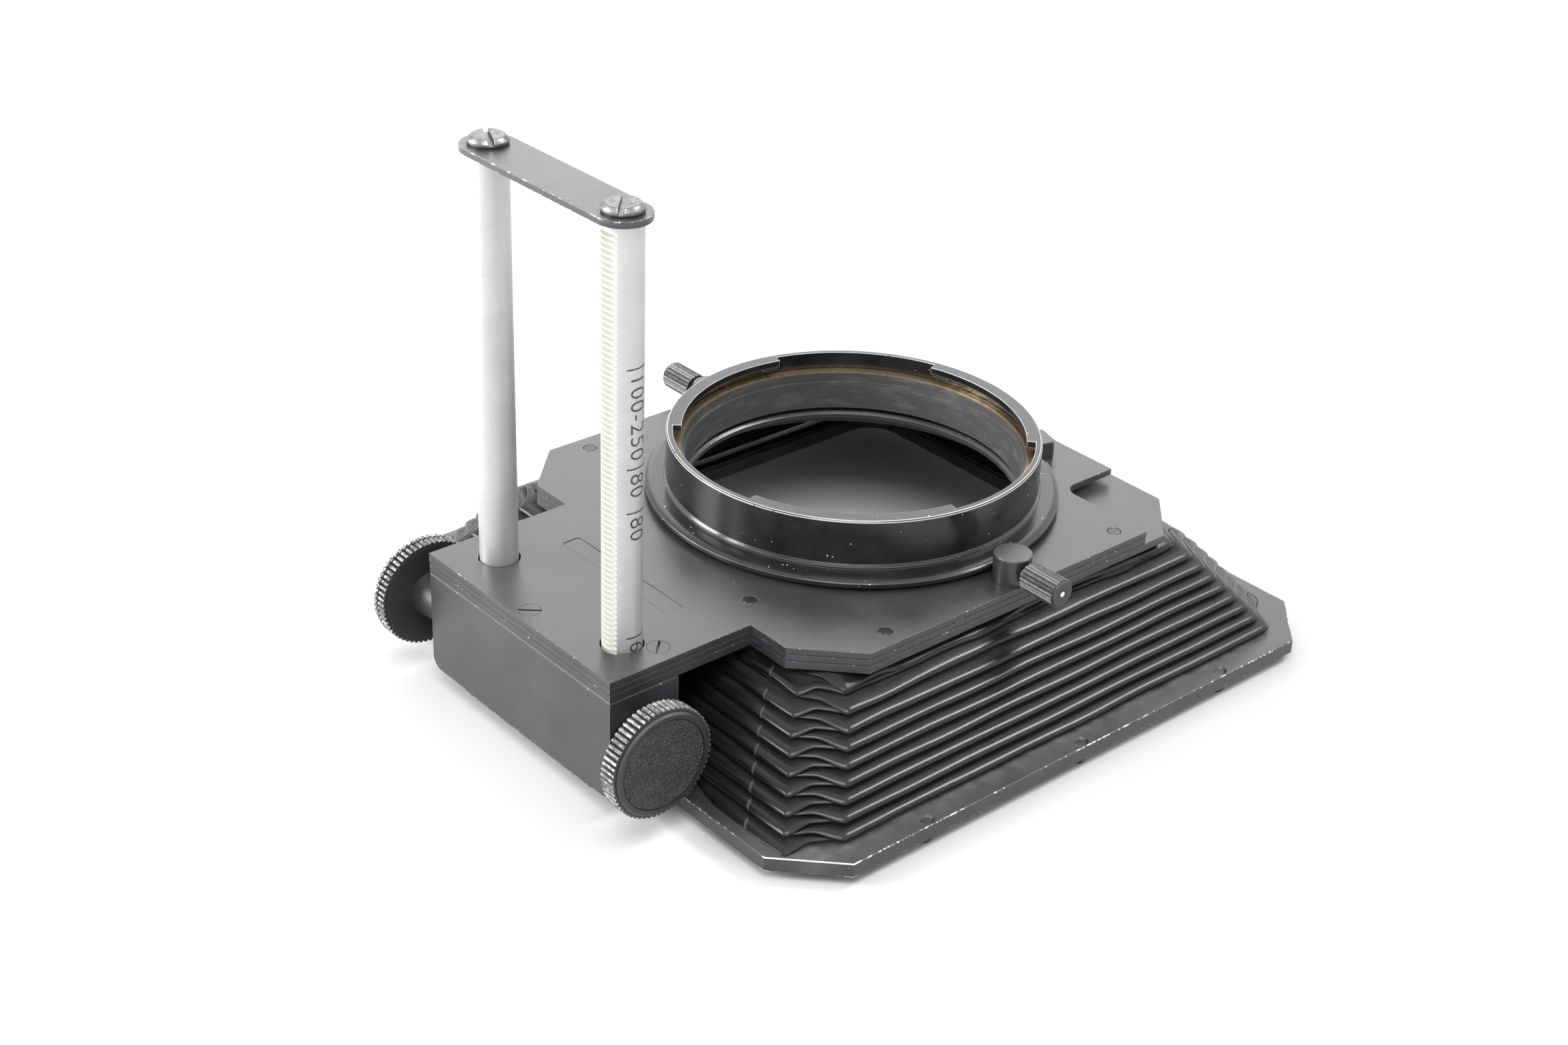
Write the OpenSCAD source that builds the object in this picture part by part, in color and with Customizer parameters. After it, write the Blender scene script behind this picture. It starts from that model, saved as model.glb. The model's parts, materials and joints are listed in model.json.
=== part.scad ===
// Bellows lens shade with a bayonet lens ring, a filter slot and a rack-and-pinion standard.
// +Z is the optical axis and points away from the subject, towards the lens.
// The origin is on that axis, on the lens ring's bayonet seat.

/* [Lens ring] */
// Outside diameter of the ring's wall
ring_d = 72; // [70:0.5:74]
// Height of the ring's rim above the rear plates
ring_h = 12.3; // [11.5:0.1:13]
// Bore of the ring's sleeve at the bayonet seat
seat_d = 65.6; // [64.8:0.1:65.8]
// Height of the bayonet seat above the rear plates
seat_h = 8.6; // [8:0.1:9]
// Radius of the ring's clamping flange
flange_r = 40; // [39.5:0.1:40.2]

/* [Rear plates] */
// Half the width of the rear plates
plate_half = 47.1; // [46.8:0.1:48]
// Front edge of the wide part of the plates, towards the rods
plate_near = 48.2; // [47.5:0.1:49]
// Far edge of the lower plate
plate_far = 48.5; // [47.5:0.1:49]
// How far the upper plates stop short of the lower one
plate_step = 2.1; // [1:0.1:3]
// Corner chamfer of the plates
plate_chamfer = 10.4; // [8:0.1:11]
// Thickness of the cover plate
cover_t = 1.3; // [1:0.1:1.5]
// Thickness of the spacer, and height of the filter slot
slot_t = 1.3; // [1:0.1:1.5]
// Thickness of the lower plate
base_t = 1.65; // [1.4:0.05:2]
// Width of the square filter that the slot takes
filter_w = 75; // [74:0.5:76]

/* [Focus housing] */
// Half the width of the housing
housing_half = 27.3; // [27:0.1:28]
// Front face of the housing
housing_front = 78.8; // [78.5:0.1:80]
// Depth of the housing from front to back
housing_depth = 14.8; // [14.5:0.1:15]
// Underside of the housing, below the top of the plates
housing_drop = 24.2; // [24:0.1:24.3]

/* [Rods] */
// Diameter of the two rods
rod_d = 7.1; // [6.9:0.1:7.2]
// Half the distance between the rods
rod_half = 18.4; // [18:0.1:19]
// Distance of the rods from the optical axis
rod_y = 69.5; // [69.3:0.1:69.7]
// Height of the rods' upper ends above the rear plates
rod_top = 78; // [60:0.1:90]
// Teeth on the pinion
pinion_teeth = 13; // [13:1:13]
// Width of the strip that joins the rods
bridge_w = 9.9; // [8:0.1:11]

/* [Front frame] */
// Half the width of the front frame
frame_half = 66.8; // [66:0.1:68]
// Edge of the frame towards the rods
frame_near = 68.5; // [68:0.1:69]
// Far edge of the frame
frame_far = 67.5; // [67:0.1:69]
// Corner chamfer of the frame
frame_chamfer = 10.6; // [9:0.1:11]
// Upper face of the frame, below the top of the plates
frame_drop = 23.6; // [23.5:0.1:23.7]
// Thickness of the frame
frame_t = 2.8; // [2.5:0.1:3]
// Half the width of the frame's opening
opening_half = 55.4; // [54:0.1:56]
// Half the length of the frame's opening
opening_long = 59.4; // [58:0.1:60]

/* [Bellows] */
// Folds in the bellows
folds = 9; // [6:1:10]
// Depth of each fold
fold_depth = 3.6; // [2.5:0.1:4]

/* [Knobs] */
// Diameter of the focus knobs
knob_d = 21; // [19:0.5:21]
// Diameter of the ring's two clamp knobs
clamp_d = 5.6; // [5:0.1:6]

/* [Hidden] */
$fn = 96;
sides = ["left", "right"];
corners_x = [-1, 1];
stud_rows = [-38.4, 0, 38.4];
pin_spots = [[20.7, -42.8], [43.1, -30.8], [43.1, 28]];
stack_t = cover_t + slot_t + base_t;
plate_upper_far = plate_far - plate_step;
rod_r = rod_d / 2;
ring_r = ring_d / 2;
module_mm = 1 / 3;
tooth_pitch = PI * module_mm;
pinion_r = pinion_teeth * module_mm / 2;
pinion_y = -(rod_y + rod_r - module_mm + pinion_r);
pinion_z = -12.7;
shaft_r = 1.5;
shoe_l = 3;
run_gap = 0.05;
post_x = 43.4;
post_r = 3.55;
post_h = 5.3;
clamp_z = 2.4;
knob_in = 33.3;
knob_t = 4;
sleeve_r = 4.1;
frame_low = -frame_drop - frame_t;
frame_mid = (frame_far - frame_near) / 2;
tongue_top = -housing_drop - 0.2;
stud_x = frame_half - 1.7;
stud_mid = -1.2;
stud_tip = 1.75;
groove = 0.14;
ink_black = "#1b1b1d";
satin_black = "#2b2b2e";
steel = "#a9a9ad";
bright = "#d6d6d6";

// Heights in every module are measured from the top of the rear plates.
module from_plates() { translate([0, 0, -seat_h]) children(); }
module slab(low, high) { translate([0, 0, low]) linear_extrude(high - low) children(); }
module side(s) { mirror([s == "left" ? 1 : 0, 0, 0]) children(); }
module along_x(x) { translate([x, 0, 0]) rotate([90, 0, 90]) children(); }

module octagon(half, near, far, chamfer) {
    polygon([
        [half - chamfer, -near], [half, chamfer - near], [half, far - chamfer], [half - chamfer, far],
        [chamfer - half, far], [-half, far - chamfer], [-half, chamfer - near], [chamfer - half, -near]]);
}

module rounded(half_x, half_y, r) {
    square([2 * half_x, 2 * (half_y - r)], center = true);
    square([2 * (half_x - r), 2 * half_y], center = true);
    for (x = corners_x, y = corners_x) translate([x * (half_x - r), y * (half_y - r)]) circle(r);
}

module slot(length, r) {
    square([length, 2 * r], center = true);
    for (x = corners_x) translate([x * length / 2, 0]) circle(r);
}

// Outline shared by the rear plates: an octagon with a tab over the housing.
module plate_outline(far, inset = 0) {
    octagon(plate_half - inset, plate_near - inset, far - inset, plate_chamfer);
    translate([inset - housing_half, inset - housing_front])
        square([2 * (housing_half - inset), housing_front - plate_near + 2]);
}

// A plate with a shallow relief along its lower edge, which shows as a dark joint line.
module plate(low, high, far) {
    slab(low + groove, high) plate_outline(far);
    slab(low, low + groove) plate_outline(far, 0.22);
}

module notch_outline() {
    notch_x = 25.6;
    notch_y = 32.7;
    notch_r = 3;
    reach = 30;
    translate([notch_x + notch_r, notch_y]) square(reach);
    translate([notch_x, notch_y + notch_r]) square(reach);
    translate([notch_x + notch_r, notch_y + notch_r]) circle(notch_r);
}

module rod_holes(r) { for (x = corners_x) translate([x * rod_half, -rod_y]) circle(r); }
module pin_holes(r) { for (x = corners_x, p = pin_spots) translate([x * p[0], p[1]]) circle(r); }
module tab_spots() { for (p = [[0, -75.8], [-23.2, -65.4], [23.2, -65.4]]) translate(p) children(); }

module cover_plate() {
    color(satin_black) from_plates() difference() {
        plate(-cover_t, 0, plate_upper_far);
        slab(-cover_t - 1, 1) {
            circle(32.2);
            notch_outline();
            rod_holes(3.85);
            pin_holes(1.35);
        }
        translate([0, 0, -0.5]) cylinder(r1 = 32.2, r2 = 32.9, h = 0.52);
        tab_spots() translate([0, 0, -cover_t - 1]) cylinder(r = 2.05, h = cover_t + 2);
        translate([0, -55.6]) slab(-0.5, 1) rounded(15.6, 1.95, 0.7);
        for (x = corners_x) translate([x * post_x, 0, -cover_t - 1]) cylinder(r = 1.5, h = cover_t + 2);
    }
}

module slot_spacer() {
    slot_half = filter_w / 2 + 0.6;
    color(ink_black) from_plates() difference() {
        plate(-cover_t - slot_t, -cover_t, plate_upper_far);
        slab(-cover_t - slot_t - 1, 0) {
            translate([-slot_half, -slot_half]) square([2 * slot_half, 100]);
            notch_outline();
            rod_holes(3.85);
            pin_holes(1.35);
            tab_spots() circle(1.1);
            for (x = corners_x) translate([x * post_x, 0]) circle(1.5);
        }
    }
}

module base_plate() {
    window_r = filter_w / 2 - 1;
    color(satin_black) from_plates() difference() {
        plate(-stack_t, -cover_t - slot_t, plate_far);
        slab(-stack_t - 1, 0) {
            circle(window_r);
            rod_holes(3.85);
            pin_holes(1.35);
            tab_spots() circle(1.1);
            for (x = corners_x) translate([x * post_x, 0]) circle(1.5);
        }
    }
}

module bellows_clamp_rear() {
    color(ink_black) from_plates() slab(-stack_t - 0.7, -stack_t) difference() {
        rounded(40.8, 40.8, 5);
        rounded(37.5, 37.5, 4);
    }
}

module name_inlay() {
    color(ink_black) from_plates() translate([0, -55.6]) slab(-0.5, -0.12) rounded(15.5, 1.85, 0.6);
}

module flush_screw(turn) {
    head_r = 2;
    slot_w = 0.45;
    color(satin_black) difference() {
        union() {
            translate([0, 0, -cover_t]) cylinder(r = head_r, h = cover_t - 0.04);
            translate([0, 0, -9]) cylinder(r = 1.1, h = 9 - cover_t);
        }
        rotate(turn) translate([-head_r - 1, -slot_w / 2, -0.65]) cube([2 * head_r + 2, slot_w, 1]);
    }
}

module tab_screw(spot, turn) { from_plates() translate(spot) flush_screw(turn); }

module plate_pin(s, i) {
    color(satin_black) from_plates() side(s) translate(pin_spots[i - 1]) {
        translate([0, 0, -stack_t]) cylinder(r = 1.35, h = stack_t - 0.2);
        translate([0, 0, -0.2]) cylinder(r1 = 1.35, r2 = 1.2, h = 0.17);
    }
}

// Front view of the housing: square upper corners and rounded lower ones.
module housing_face(low, high, half, r) {
    translate([-half, low + r]) square([2 * half, high - low - r]);
    translate([r - half, low]) square([2 * (half - r), r + 0.01]);
    for (x = corners_x) translate([x * (half - r), low + r]) circle(r);
}

module housing_block(near, far, low, high, half, r) {
    translate([0, -far, 0]) rotate([90, 0, 0]) linear_extrude(near - far) housing_face(low, high, half, r);
}

module pinion_axis() { translate([0, pinion_y, pinion_z]) children(); }

// Blocks inside the housing that the tab's three screws go into.
module screw_blocks(low, high) {
    slab(low, high) {
        translate([-1.9, -77.6]) square([3.8, 3.4]);
        for (x = corners_x) translate([x * 23.7 - 2.2, -67.1]) square([4.4, 2]);
    }
}

module focus_housing() {
    wall = 1.3;
    back = housing_front - housing_depth;
    top = -stack_t;
    inside_top = top - 1.6;
    color(satin_black) from_plates() difference() {
        union() {
            difference() {
                union() {
                    housing_block(housing_front, back, -housing_drop, top - groove, housing_half, 2.4);
                    translate([0.2 - housing_half, 0.2 - housing_front, top - 1])
                        cube([2 * housing_half - 0.4, housing_depth - 0.4, 1]);
                }
                housing_block(housing_front - wall, back + wall, -housing_drop - 1, inside_top,
                    housing_half - 1.7, 1);
            }
            difference() {
                screw_blocks(-9.8, inside_top + 0.5);
                slab(-12, 0) rod_holes(sleeve_r + 0.1);
            }
        }
        slab(inside_top - 1, top + 1) rod_holes(3.85);
        tab_spots() translate([0, 0, -9]) cylinder(r = 1.1, h = 9);
        pinion_axis() along_x(-40) cylinder(r = 3, h = 80);
    }
}

module housing_base() {
    color(ink_black) from_plates() difference() {
        housing_block(housing_front - 1.3, housing_front - housing_depth + 1.3,
            -housing_drop, 1.2 - housing_drop, housing_half - 1.7, 0.4);
        slab(-housing_drop - 1, 2 - housing_drop) rod_holes(3.85);
    }
}

module rod_sleeve(s) {
    low = 1.2 - housing_drop;
    high = -stack_t - 1.6;
    color(steel) from_plates() difference() {
        side(s) translate([rod_half, -rod_y, low]) difference() {
            cylinder(r = sleeve_r, h = high - low);
            translate([0, 0, -1]) cylinder(r = rod_r + run_gap, h = high - low + 2);
        }
        pinion_axis() along_x(-40) cylinder(r = shaft_r + 0.25, h = 80);
        pinion_axis() along_x(rod_half - 3) cylinder(r = pinion_r + 0.7, h = 6);
        if (s == "left") brake_axis() translate([0, 0, -1]) cylinder(r = 1.5, h = 4);
    }
}

// The brake's line runs outwards along -X from the left rod, through its sleeve.
module brake_axis() { translate([-rod_half - rod_r - run_gap, -rod_y, -19]) rotate([0, -90, 0]) children(); }

module brake_shoe() {
    color("#e8e2d0") from_plates() difference() {
        brake_axis() translate([0, 0, -0.5]) cylinder(r = 1.45, h = 0.5 + shoe_l);
        translate([-rod_half, -rod_y, -30]) cylinder(r = rod_r + run_gap, h = 40);
    }
}

module brake_spring() {
    spring_t = 0.3;
    below = 3.8;
    color(steel) from_plates() brake_axis() translate([-below, -3, shoe_l]) cube([12, 6, spring_t]);
}

module shaft_bush(s) {
    color(steel) from_plates() side(s) pinion_axis() difference() {
        along_x(housing_half - 1.7) cylinder(r = 3, h = 1.7);
        along_x(housing_half - 3) cylinder(r = shaft_r + run_gap, h = 5);
    }
}

module clamp_post(s) {
    color(ink_black) from_plates() side(s) difference() {
        translate([post_x, 0, 0]) {
            cylinder(r = post_r, h = post_h - 0.2);
            translate([0, 0, post_h - 0.2]) cylinder(r1 = post_r, r2 = post_r - 0.2, h = 0.2);
            translate([0, 0, -stack_t + 0.05]) cylinder(r = 1.5, h = stack_t);
        }
        cylinder(r = flange_r + 0.3, h = 3);
        translate([0, 0, clamp_z]) along_x(30) cylinder(r = 1.3, h = 30);
    }
}

// Low fixed hooks on the far side reach over the flange's sloped edge.
module ring_hook(s) {
    hook_turn = 73;
    hook_h = 3.7;
    color(ink_black) from_plates() side(s) rotate(hook_turn) difference() {
        translate([41.1, 0]) slab(0, hook_h) rounded(2.4, 3, 1);
        cylinder(r = flange_r + 0.3, h = 2);
        translate([0, 0, 2]) cylinder(r1 = flange_r + 0.3, r2 = flange_r - 1.4, h = 0.9);
        translate([0, 0, 2.9]) cylinder(r = flange_r - 1.4, h = 2);
    }
}

module lug(turn) {
    lug_span = 65;
    step_span = 6;
    step_in = 0.6;
    inner = ring_r - 3;
    outer = ring_r - 1;
    rotate(turn - lug_span / 2) {
        rotate_extrude(angle = lug_span) translate([inner, ring_h - 1.4]) square([outer - inner, 1.4]);
        for (a = [step_in, lug_span - step_span - step_in]) rotate(a) rotate_extrude(angle = step_span)
            translate([inner + 0.4, ring_h - 2]) square([outer - inner - 0.5, 0.8]);
    }
}

module lens_ring() {
    groove_r = ring_r - 1.3;
    color(ink_black) from_plates() {
        rotate_extrude() polygon([
            [groove_r, 0.05], [ring_r, 0.05], [ring_r, ring_h - 0.3], [ring_r - 0.3, ring_h],
            [groove_r, ring_h]]);
        for (turn = [-42.5, 77.5, 197.5]) lug(turn);
    }
}

// The flange that the clamp screws and hooks hold, with a bead where it meets the ring's wall.
module ring_flange() {
    spigot_r = 37.6;
    color(ink_black) from_plates() rotate_extrude() polygon([
        [ring_r, 0.05], [spigot_r, 0.05], [spigot_r, 0.9], [flange_r, 0.9], [flange_r, 1.65],
        [flange_r - 0.15, 1.8], [flange_r - 1.6, 2.55], [ring_r + 0.4, 2.55], [ring_r + 0.4, 2.95],
        [ring_r + 0.25, 3.15], [ring_r, 3.5]]);
}

module ring_sleeve() {
    seat_r = seat_d / 2;
    color("#242426") from_plates() rotate_extrude() polygon([
        [seat_r - 0.5, 1], [ring_r - 1.3, 1], [ring_r - 1.3, seat_h], [seat_r, seat_h],
        [seat_r, seat_h - 1.8], [seat_r - 0.5, seat_h - 1.8]]);
}

module ring_spring() {
    color("#8a6a3a") from_plates() rotate_extrude()
        translate([ring_r - 2.75, seat_h]) square([1.3, 0.3]);
}

// Straight-flanked teeth, thinner than the rack's gaps so that they run free.
module pinion_outline() {
    root = pinion_r - 1.1 * module_mm;
    tip = pinion_r + 0.75 * module_mm;
    step = 360 / pinion_teeth;
    polygon([for (i = [0 : pinion_teeth - 1], k = [[root, -10], [tip, -3], [tip, 3], [root, 10]])
        k[0] * [cos(i * step + k[1]), sin(i * step + k[1])]]);
}

module pinion() {
    color("#b49a5a") from_plates() pinion_axis() difference() {
        along_x(rod_half - 2) linear_extrude(4) pinion_outline();
        along_x(0) cylinder(r = shaft_r, h = 40);
    }
}

module pinion_shaft() {
    color(steel) from_plates() pinion_axis() along_x(-knob_in - 2.5) cylinder(r = shaft_r, h = 2 * knob_in + 5);
}

module fluted(r, depth, count) {
    step = 360 / count;
    polygon([for (i = [0 : count - 1], k = [[r - depth, 0], [r - 0.1, 0.25], [r, 0.5], [r - 0.1, 0.75]])
        k[0] * [cos((i + k[1]) * step), sin((i + k[1]) * step)]]);
}

module focus_knob(s) {
    knob_r = knob_d / 2;
    disc_r = 8.6;
    bands = s == "left" ? [[0.15, 1.9], [2.4, 1]] : [[0.15, 3.25]];
    color(ink_black) from_plates() side(s) pinion_axis() difference() {
        union() {
            along_x(knob_in) cylinder(r = knob_r - 0.75, h = knob_t - 0.4);
            along_x(knob_in + knob_t - 0.4) cylinder(r1 = knob_r - 0.75, r2 = knob_r - 1.1, h = 0.4);
            for (b = bands) along_x(knob_in + b[0]) linear_extrude(b[1]) fluted(knob_r, 0.6, 60);
            along_x(housing_half + 0.35) cylinder(r1 = 3.7, r2 = 4.5, h = knob_in - housing_half - 0.35);
        }
        along_x(housing_half - 1) cylinder(r = shaft_r, h = knob_in + 2.5 - housing_half + 1);
        along_x(knob_in + knob_t - 0.5) cylinder(r = disc_r, h = 2);
    }
}

module knob_disc(s) {
    color("#232325") from_plates() side(s) pinion_axis()
        along_x(knob_in + knob_t - 0.5) cylinder(r = 8.45, h = 0.45);
}

module clamp_screw(s) {
    head_in = 47.9;
    head_l = 8.1;
    r = clamp_d / 2;
    color(ink_black) from_plates() side(s) translate([0, 0, clamp_z]) difference() {
        union() {
            along_x(39.6) cylinder(r1 = 0.05, r2 = 1.25, h = 1.2);
            along_x(40.8) cylinder(r = 1.25, h = head_in - 40.3);
            along_x(head_in - 0.7) cylinder(r = 1.9, h = 0.9);
            along_x(head_in) linear_extrude(head_l - 0.3) fluted(r, 0.32, 20);
            along_x(head_in + head_l - 0.5) cylinder(r1 = r - 0.3, r2 = r - 0.45, h = 0.5);
        }
        along_x(head_in + head_l - 1) cylinder(r = 0.5, h = 2);
    }
}

module clamp_dot(s) {
    color("#d9cfc0") from_plates() side(s) translate([0, 0, clamp_z])
        along_x(55) cylinder(r = 0.5, h = 1.02);
}

module front_frame() {
    tongue_half = rod_half + rod_r;
    tongue_y = 77.2;
    color(satin_black) from_plates() difference() {
        union() {
            difference() {
                slab(frame_low, -frame_drop) octagon(frame_half, frame_near, frame_far, frame_chamfer);
                slab(tongue_top, 1 - frame_drop) translate([-housing_half - 0.5, -frame_near - 20])
                    square([2 * housing_half + 1, 20 + frame_near - housing_front + housing_depth + 0.5]);
            }
            slab(frame_low, tongue_top) translate([0, -tongue_y + 7]) rounded(tongue_half, 7, 3.5);
        }
        translate([0, frame_mid]) slab(frame_low - 1, 1 - frame_drop) rounded(opening_half, opening_long, 7);
        for (x = corners_x, y = stud_rows) translate([x * stud_x, y + stud_mid, 0]) {
            translate([0, 0, frame_low - 1]) cylinder(r = 0.9, h = frame_t + 2);
            translate([0, 0, -frame_drop - 0.5]) cylinder(r1 = 0.9, r2 = 1.35, h = 0.52);
        }
        for (x = corners_x) translate([x * rod_half, -rod_y, 0]) {
            translate([0, 0, frame_low - 1]) cylinder(r = 1.5, h = 4);
            translate([0, 0, frame_low - 0.01]) cylinder(r1 = 3, r2 = 1.5, h = 1.5);
        }
    }
}

// A rivet through the frame with a domed stud below it, which a mask hangs on.
module mask_stud(s, i) {
    color(steel) from_plates() side(s) translate([stud_x, stud_rows[i - 1] + stud_mid, 0]) {
        translate([0, 0, frame_low]) cylinder(r = 0.9, h = frame_t - 0.35);
        translate([0, 0, frame_low]) rotate_extrude() polygon([
            [0, -stud_tip], [0.6, -stud_tip], [0.95, -stud_tip + 0.3], [1.1, -stud_tip + 0.7], [1.1, 0], [0, 0]]);
    }
}

module bellows_clamp_front() {
    color(ink_black) from_plates() translate([0, frame_mid]) slab(-frame_drop, 0.8 - frame_drop) difference() {
        rounded(opening_half + 2.2, opening_long + 0.9, 7.5);
        rounded(opening_half + 0.3, opening_long + 0.3, 7);
    }
}

// Outline of the bellows at height z, drawn in by "fold": eight corners round the axis.
function bellows_ring(z, fold) =
    let (drop = -stack_t - z,
        half = 48.2 + 0.755 * drop - fold,
        near = 48.4 + 0.775 * drop - fold,
        far = 47.4 + 0.86 * drop - fold,
        cx = 5.2,
        cy = 9)
    [[half - cx, -near, z], [half, cy - near, z], [half, far - cy, z], [half - cx, far, z],
        [cx - half, far, z], [-half, far - cy, z], [-half, cy - near, z], [cx - half, -near, z]];

module bellows() {
    top = -stack_t - 0.1;
    bottom = 0.05 - frame_drop;
    levels = 2 * folds;
    skin = 0.9;
    corners = 8;
    function level_z(i) = top + (bottom - top) * i / levels;
    foot_fold = 1.6;
    function level_fold(i) = i % 2 == 1 ? 0 : i == levels ? foot_fold : fold_depth;
    outer = [for (i = [0 : levels]) each bellows_ring(level_z(i), level_fold(i))];
    inner = [for (i = [0 : levels]) each bellows_ring(level_z(i), level_fold(i) + skin)];
    shift = len(outer);
    walls = [for (i = [0 : levels - 1], k = [0 : corners - 1])
        let (a = i * corners + k, b = i * corners + (k + 1) % corners)
        each [[a, a + corners, b + corners, b], [shift + a, shift + b, shift + b + corners, shift + a + corners]]];
    rims = [for (k = [0 : corners - 1])
        let (b = (k + 1) % corners, end = levels * corners)
        each [[k, b, shift + b, shift + k], [end + k, shift + end + k, shift + end + b, end + b]]];
    color("#161617") from_plates() polyhedron(concat(outer, inner), concat(walls, rims));
}

module rod_blank(s) {
    from_plates() side(s) translate([rod_half, -rod_y, 0]) difference() {
        translate([0, 0, tongue_top]) cylinder(r = rod_r, h = rod_top - tongue_top);
        translate([0, 0, tongue_top - 1]) cylinder(r = 1.5, h = 8);
        translate([0, 0, rod_top - 8]) cylinder(r = 1.5, h = 9);
    }
}

// One gap of the rack, as seen along X: straight flanks at 20 degrees.
module rack_gap() {
    depth = 2.25 * module_mm;
    mouth = 0.3 * tooth_pitch + module_mm * tan(20);
    polygon([[-1, -mouth], [0, -mouth], [depth, depth * tan(20) - mouth],
        [depth, mouth - depth * tan(20)], [0, mouth], [-1, mouth]]);
}

module rod_right() {
    low = -10;
    high = floor((rod_top - 1.5 - pinion_z) / tooth_pitch);
    color(bright) difference() {
        rod_blank("right");
        from_plates() for (i = [low : high])
            translate([0, -rod_y - rod_r, pinion_z + i * tooth_pitch]) along_x(rod_half - 4)
                linear_extrude(8) rack_gap();
    }
}

module rod_left() { color(bright) rod_blank("left"); }

module foot_screw(s) {
    color(steel) from_plates() side(s) translate([rod_half, -rod_y, frame_low]) difference() {
        union() {
            cylinder(r1 = 2.9, r2 = 1.5, h = 1.4);
            cylinder(r = 1.5, h = 8);
        }
        translate([-4, -0.4, -1]) cube([8, 0.8, 1.7]);
    }
}

module rod_bridge() {
    bridge_t = 1.2;
    color(satin_black) from_plates() translate([0, -rod_y]) slab(rod_top, rod_top + bridge_t) difference() {
        slot(2 * rod_half, bridge_w / 2);
        for (x = corners_x) translate([x * rod_half, 0]) circle(1.5);
    }
}

module bridge_screw(s, turn) {
    head_r = 3.6;
    head_h = 1.5;
    color("#8e8e92") from_plates() side(s) translate([rod_half, -rod_y, rod_top + 1.2]) difference() {
        union() {
            translate([0, 0, -9]) cylinder(r = 1.5, h = 9);
            cylinder(r = head_r - 0.3, h = 0.25);
            translate([0, 0, 0.25]) cylinder(r = head_r, h = 0.5);
            translate([0, 0, 0.75]) cylinder(r1 = head_r, r2 = head_r - 0.7, h = head_h - 0.75);
        }
        rotate(turn) translate([-5, -0.45, 0.55]) cube([10, 0.9, 2]);
    }
}

front_frame();
for (s = sides, i = [1 : 3])
    mask_stud(s, i);
bellows_clamp_front();
rod_left();
rod_right();
for (s = sides) foot_screw(s);
rod_bridge();
bridge_screw("left", 25);  // bridge_screw_left
bridge_screw("right", 137);  // bridge_screw_right
bellows();
cover_plate();
slot_spacer();
base_plate();
bellows_clamp_rear();
name_inlay();
tab_screw([0, -75.8, 0], 48);  // tab_screw_front
tab_screw([-23.2, -65.4, 0], 20);  // tab_screw_left
tab_screw([23.2, -65.4, 0], 135);  // tab_screw_right
for (s = sides, i = [1 : 3])
    plate_pin(s, i);
focus_housing();
housing_base();
for (s = sides) rod_sleeve(s);
for (s = sides) shaft_bush(s);
brake_shoe();
brake_spring();
for (s = sides) clamp_post(s);
for (s = sides) ring_hook(s);
lens_ring();
ring_flange();
ring_sleeve();
ring_spring();
pinion_shaft();
pinion();
for (s = sides) focus_knob(s);
for (s = sides) knob_disc(s);
for (s = sides) clamp_screw(s);
for (s = sides) clamp_dot(s);
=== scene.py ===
import json
import math

import bmesh
import bpy
from mathutils import Matrix, Vector, noise

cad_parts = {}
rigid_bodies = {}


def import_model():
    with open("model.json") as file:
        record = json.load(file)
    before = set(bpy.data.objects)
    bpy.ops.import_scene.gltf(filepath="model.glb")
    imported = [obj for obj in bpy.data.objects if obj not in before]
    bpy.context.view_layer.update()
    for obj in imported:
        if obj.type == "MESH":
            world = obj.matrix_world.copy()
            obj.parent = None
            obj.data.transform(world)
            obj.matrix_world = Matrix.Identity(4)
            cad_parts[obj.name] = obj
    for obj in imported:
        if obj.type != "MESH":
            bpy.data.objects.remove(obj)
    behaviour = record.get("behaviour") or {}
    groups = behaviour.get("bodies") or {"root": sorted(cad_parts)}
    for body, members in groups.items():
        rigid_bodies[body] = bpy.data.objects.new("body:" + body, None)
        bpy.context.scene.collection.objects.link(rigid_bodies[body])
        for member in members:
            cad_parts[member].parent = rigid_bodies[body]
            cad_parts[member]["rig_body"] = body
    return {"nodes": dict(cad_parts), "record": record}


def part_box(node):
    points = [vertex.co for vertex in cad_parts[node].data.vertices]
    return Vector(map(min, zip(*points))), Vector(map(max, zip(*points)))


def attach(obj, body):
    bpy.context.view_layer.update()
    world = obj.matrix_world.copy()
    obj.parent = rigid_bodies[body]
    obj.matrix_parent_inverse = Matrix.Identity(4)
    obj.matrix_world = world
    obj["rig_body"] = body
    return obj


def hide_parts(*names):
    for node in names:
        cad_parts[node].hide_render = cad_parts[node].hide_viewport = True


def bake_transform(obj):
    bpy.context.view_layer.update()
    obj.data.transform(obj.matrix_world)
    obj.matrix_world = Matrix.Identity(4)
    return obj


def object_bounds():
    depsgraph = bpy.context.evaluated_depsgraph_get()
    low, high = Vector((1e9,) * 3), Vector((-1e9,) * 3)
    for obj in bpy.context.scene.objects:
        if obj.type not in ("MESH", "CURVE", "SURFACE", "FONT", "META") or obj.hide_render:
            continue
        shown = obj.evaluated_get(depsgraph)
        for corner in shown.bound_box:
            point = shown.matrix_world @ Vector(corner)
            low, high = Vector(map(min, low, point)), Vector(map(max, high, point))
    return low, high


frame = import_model()
cad_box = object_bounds()
nodes = frame["nodes"]

# Lengths are in millimetres until a mesh is finished. Heights are measured from the top of the rear plates.
# The shade lies on its front frame: +Z is the optical axis, and the rods stand on the -Y side.
MM = 0.001
PLATE_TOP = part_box("cover_plate")[1].z / MM
SIDES = ("left", "right")
RACK_Y = -72.2  # where the rack is cut into the right rod
FRAME_NEAR = -68.5  # the front frame's edge towards the rods
FRAME_CUT = 10.6  # how much of each edge the frame's cut corners take


def clamp(value, low=0.0, high=1.0):
    return max(low, min(high, value))


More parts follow.
